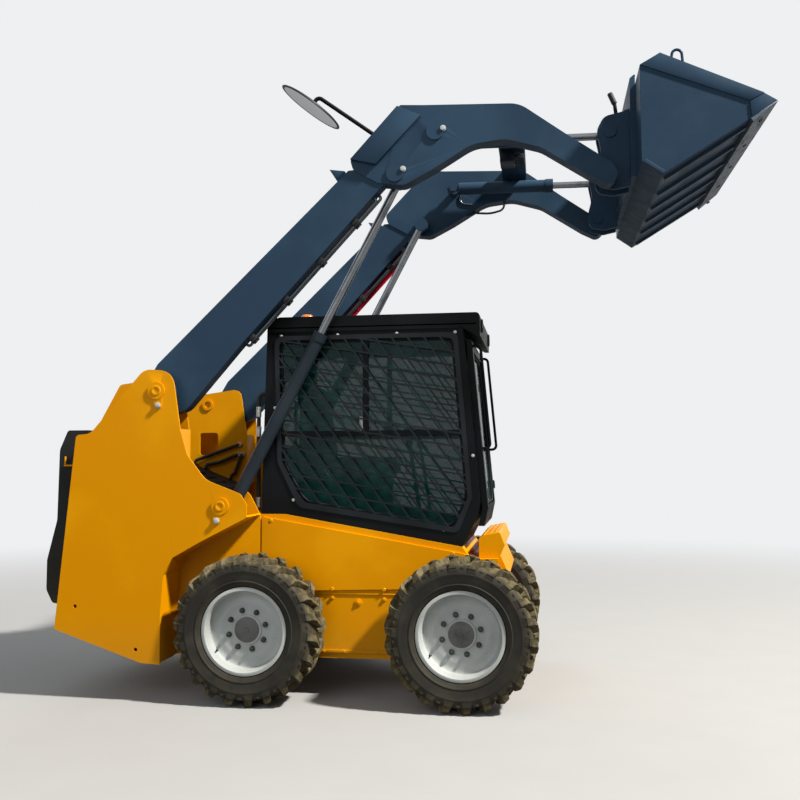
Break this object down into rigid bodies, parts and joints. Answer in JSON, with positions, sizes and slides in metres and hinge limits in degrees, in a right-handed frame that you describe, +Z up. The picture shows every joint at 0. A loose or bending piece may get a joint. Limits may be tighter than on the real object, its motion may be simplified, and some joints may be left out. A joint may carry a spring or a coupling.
{
  "type": "skid steer loader",
  "caption": "Wheeled skid steer loader with a caged cab, raised lift arms on rear towers, hydraulic cylinders, a quick coupler and a rolled-back bucket.",
  "frame": {"origin": "on the ground under the middle of the machine's length and width", "axes": "+X forward to the bucket, +Y to the machine's left, +Z up"},
  "size_m": [3.8889, 1.63, 3.3007],
  "materials": {
    "body_yellow": "gloss yellow enamel, dusty low down",
    "boom_slate": "satin dark blue-grey enamel",
    "cab_black": "satin black",
    "glazing": "clear safety glass",
    "seat_cloth": "black vinyl",
    "lamp_clear": "clear lamp lens",
    "lamp_amber": "amber lens",
    "lamp_red": "red lens",
    "hose_black": "black hydraulic hose",
    "worn_steel": "bare steel",
    "brace_red": "red enamel",
    "mirror_back": "black moulded plastic",
    "shaft_chrome": "hard chrome",
    "tyre_rubber": "black rubber, dusty",
    "rim_silver": "silver enamel"
  },
  "bodies": {
    "chassis": {"main_frame": "body_yellow", "side_panels": "body_yellow", "front_step": "body_yellow", "tower_left": "body_yellow", "tower_right": "body_yellow", "engine_block": "cab_black", "engine_hood": "cab_black", "cab_frame": "cab_black", "cab_glass": "glazing", "window_guards": "cab_black", "seat_cushion": "seat_cloth", "seat_back": "seat_cloth", "control_levers": "cab_black", "cab_lamps": "lamp_clear", "amber_lamp": "lamp_amber", "chassis_hoses": "hose_black"},
    "cab_door": {"door_frame": "cab_black", "door_glass": "glazing", "door_guard": "cab_black"},
    "tail_door": {"rear_door": "cab_black", "tail_lamps": "lamp_red"},
    "boom": {"arm_left": "boom_slate", "arm_right": "boom_slate", "boom_crossmember": "boom_slate", "boom_pipes": "worn_steel", "safety_brace": "brace_red", "mirror_post": "cab_black", "mirror_disc": "mirror_back"},
    "bucket": {"coupler": "boom_slate", "coupler_levers": "cab_black", "bucket_shell": "boom_slate", "bucket_edge": "worn_steel"},
    "lift_barrel_left": {"lift_barrel_left": "boom_slate"},
    "lift_barrel_right": {"lift_barrel_right": "boom_slate"},
    "lift_rod_left": {"lift_rod_left": "shaft_chrome"},
    "lift_rod_right": {"lift_rod_right": "shaft_chrome"},
    "tilt_barrel_left": {"tilt_barrel_left": "boom_slate"},
    "tilt_barrel_right": {"tilt_barrel_right": "boom_slate"},
    "tilt_rod_left": {"tilt_rod_left": "shaft_chrome"},
    "tilt_rod_right": {"tilt_rod_right": "shaft_chrome"},
    "wheel_rear_right": {"tyre_rear_right": "tyre_rubber", "rim_rear_right": "rim_silver"},
    "wheel_rear_left": {"tyre_rear_left": "tyre_rubber", "rim_rear_left": "rim_silver"},
    "wheel_front_right": {"tyre_front_right": "tyre_rubber", "rim_front_right": "rim_silver"},
    "wheel_front_left": {"tyre_front_left": "tyre_rubber", "rim_front_left": "rim_silver"}
  },
  "joints": [
    {"name": "roll_rear_right", "type": "hinge", "parent": "chassis", "child": "wheel_rear_right", "pos_m": [-0.7445, -0.618, 0.3875], "axis": [0, 1, 0], "continuous": true},
    {"name": "roll_rear_left", "type": "hinge", "parent": "chassis", "child": "wheel_rear_left", "pos_m": [-0.7445, 0.618, 0.3875], "axis": [0, 1, 0], "continuous": true},
    {"name": "roll_front_right", "type": "hinge", "parent": "chassis", "child": "wheel_front_right", "pos_m": [0.3755, -0.618, 0.3875], "axis": [0, 1, 0], "continuous": true},
    {"name": "roll_front_left", "type": "hinge", "parent": "chassis", "child": "wheel_front_left", "pos_m": [0.3755, 0.618, 0.3875], "axis": [0, 1, 0], "continuous": true},
    {"name": "boom_lift", "type": "hinge", "parent": "chassis", "child": "boom", "pos_m": [-1.2445, 0, 1.645], "axis": [0, -1, 0], "range_deg": [-56, 15]},
    {"name": "bucket_tilt", "type": "hinge", "parent": "boom", "child": "bucket", "pos_m": [1.1505, 0, 2.745], "axis": [0, 1, 0], "range_deg": [-45, 70]},
    {"name": "cab_door_swing", "type": "hinge", "parent": "chassis", "child": "cab_door", "pos_m": [0.46663, 0.384, 1.4], "axis": [-0.0882, 0, 0.9961], "range_deg": [0, 100]},
    {"name": "tail_door_swing", "type": "hinge", "parent": "chassis", "child": "tail_door", "pos_m": [-1.8345, 0.56, 0.9], "axis": [0, 0, -1], "range_deg": [0, 100]},
    {"name": "lift_swing_left", "type": "hinge", "parent": "chassis", "child": "lift_barrel_left", "pos_m": [-0.8845, 0.485, 1.03], "axis": [0, -1, 0], "range_deg": [-51.16, 13.85]},
    {"name": "lift_stroke_left", "type": "slide", "parent": "lift_barrel_left", "child": "lift_rod_left", "axis": [0.4663, 0, 0.8846], "range_m": [-0.654, 0.1781]},
    {"name": "tilt_swing_left", "type": "hinge", "parent": "boom", "child": "tilt_barrel_left", "pos_m": [0.2555, 0.44, 3], "axis": [0, -1, 0], "range_deg": [-4.23, 2.79]},
    {"name": "tilt_stroke_left", "type": "slide", "parent": "tilt_barrel_left", "child": "tilt_rod_left", "axis": [0.9999, 0, -0.011], "range_m": [-0.165, 0.2545]},
    {"name": "lift_swing_right", "type": "hinge", "parent": "chassis", "child": "lift_barrel_right", "pos_m": [-0.8845, -0.485, 1.03], "axis": [0, -1, 0], "range_deg": [-51.16, 13.85]},
    {"name": "lift_stroke_right", "type": "slide", "parent": "lift_barrel_right", "child": "lift_rod_right", "axis": [0.4663, 0, 0.8846], "range_m": [-0.654, 0.1781]},
    {"name": "tilt_swing_right", "type": "hinge", "parent": "boom", "child": "tilt_barrel_right", "pos_m": [0.2555, -0.44, 3], "axis": [0, -1, 0], "range_deg": [-4.23, 2.79]},
    {"name": "tilt_stroke_right", "type": "slide", "parent": "tilt_barrel_right", "child": "tilt_rod_right", "axis": [0.9999, 0, -0.011], "range_m": [-0.165, 0.2545]}
  ],
  "couplings": [
    {"joint": "lift_swing_left", "follows": "boom_lift", "ratio": 0.91},
    {"joint": "lift_stroke_left", "follows": "boom_lift", "m_per_rad": 0.665},
    {"joint": "tilt_swing_left", "follows": "bucket_tilt", "ratio": -0.0575},
    {"joint": "tilt_stroke_left", "follows": "bucket_tilt", "m_per_rad": 0.205},
    {"joint": "lift_swing_right", "follows": "boom_lift", "ratio": 0.91},
    {"joint": "lift_stroke_right", "follows": "boom_lift", "m_per_rad": 0.665},
    {"joint": "tilt_swing_right", "follows": "bucket_tilt", "ratio": -0.0575},
    {"joint": "tilt_stroke_right", "follows": "bucket_tilt", "m_per_rad": 0.205}
  ]
}
